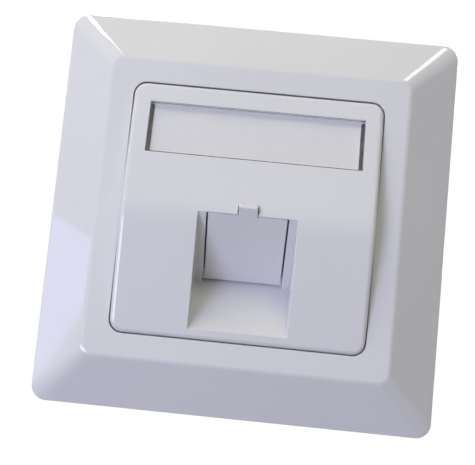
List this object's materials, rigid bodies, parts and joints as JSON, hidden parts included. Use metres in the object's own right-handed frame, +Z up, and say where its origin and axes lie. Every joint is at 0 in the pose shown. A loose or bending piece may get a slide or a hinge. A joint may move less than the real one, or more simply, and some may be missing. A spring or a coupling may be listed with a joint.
{
  "type": "ethernet wall socket",
  "caption": "Square flush wall outlet for a network plug: bevelled frame, roof-shaped centre plate, clear label window and a slanted port behind a hinged dust flap.",
  "frame": {"origin": "middle of the outlet on the wall's surface, halfway between the two box screw slots", "axes": "+Z up, +Y into the wall, the front faces -Y, +X to the right seen from the front"},
  "size_m": [0.08, 0.0347, 0.08],
  "materials": {
    "white_plastic": "satin gloss moulded",
    "clear_plastic": "clear moulded",
    "card": "plain white card",
    "plated_steel": "zinc plated sheet",
    "carrier_plastic": "light grey moulded",
    "screw_steel": "zinc plated",
    "jack_plastic": "black moulded",
    "board": "green solder mask",
    "terminal_plastic": "black moulded",
    "cap_plastic": "natural white moulded",
    "contact_metal": "gold plated",
    "terminal_metal": "tin plated"
  },
  "bodies": {
    "socket": {"cover_frame": "white_plastic", "centre_plate": "white_plastic", "label_window": "clear_plastic", "label_card": "card", "support_ring": "plated_steel", "jack_carrier": "carrier_plastic", "carrier_screws": "screw_steel", "plate_screws": "screw_steel", "jack_housing": "jack_plastic", "contact_guide": "jack_plastic", "jack_board": "board", "terminal_block": "terminal_plastic", "wire_cap_lower": "cap_plastic", "wire_cap_upper": "cap_plastic", "jack_contact_1": "contact_metal", "jack_contact_2": "contact_metal", "jack_contact_3": "contact_metal", "jack_contact_4": "contact_metal", "jack_contact_5": "contact_metal", "jack_contact_6": "contact_metal", "jack_contact_7": "contact_metal", "jack_contact_8": "contact_metal", "terminal_1": "terminal_metal", "terminal_2": "terminal_metal", "terminal_3": "terminal_metal", "terminal_4": "terminal_metal", "terminal_5": "terminal_metal", "terminal_6": "terminal_metal", "terminal_7": "terminal_metal", "terminal_8": "terminal_metal"},
    "flap": {"dust_flap": "white_plastic"}
  },
  "joints": [
    {"name": "flap_hinge", "type": "hinge", "parent": "socket", "child": "flap", "pos_m": [0, -0.00006, -0.01162], "axis": [1, 0, 0], "range_deg": [0, 90]}
  ]
}
